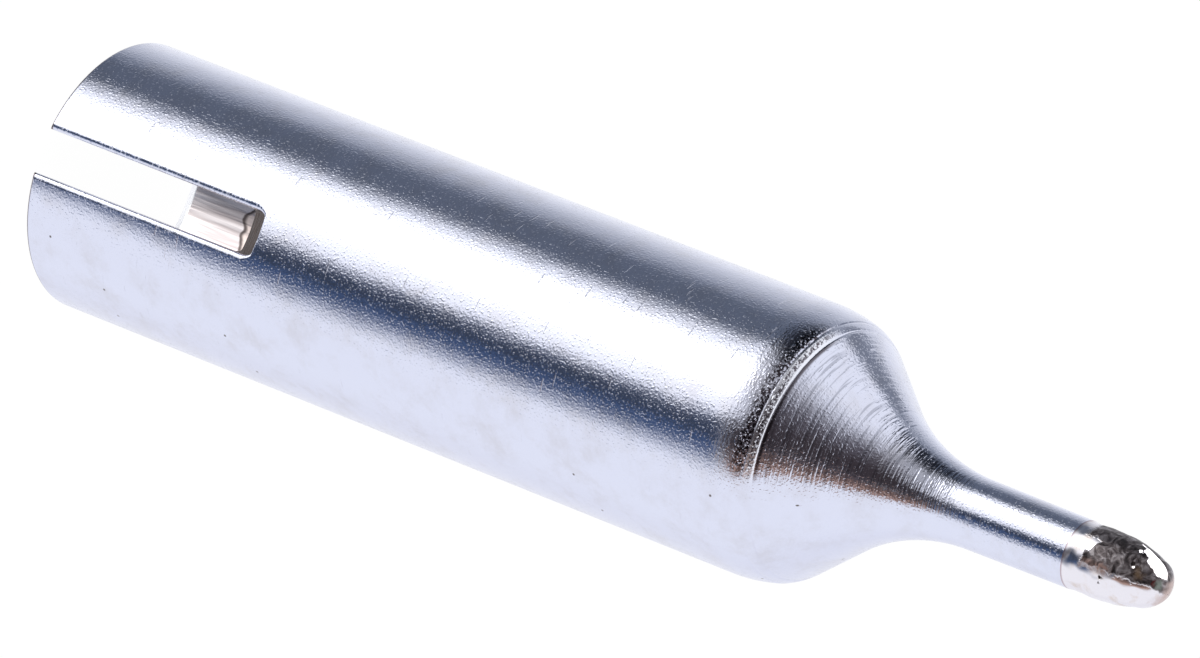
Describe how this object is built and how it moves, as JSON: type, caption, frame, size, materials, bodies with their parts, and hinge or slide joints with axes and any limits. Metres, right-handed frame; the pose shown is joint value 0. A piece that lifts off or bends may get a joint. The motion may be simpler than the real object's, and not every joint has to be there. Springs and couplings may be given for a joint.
{
  "type": "soldering iron tip",
  "caption": "Slip-on soldering iron tip: slotted plated barrel with a blind heater bore, coned shoulder, slim neck and rounded tinned end.",
  "frame": {"origin": "centre of the open rear face of the barrel, on the surface that it stands on", "axes": "+Z along the tip's axis, from the open rear end to the working end; -Y through the middle of the slot; +X across the slot"},
  "size_m": [0.0085, 0.0084, 0.0397],
  "materials": {
    "plating": "bright plated, with a fine grain",
    "solder": "wetted solder, lumpy and bright"
  },
  "bodies": {
    "root": {"tip_body": "plating", "solder_coat": "solder"}
  },
  "joints": []
}
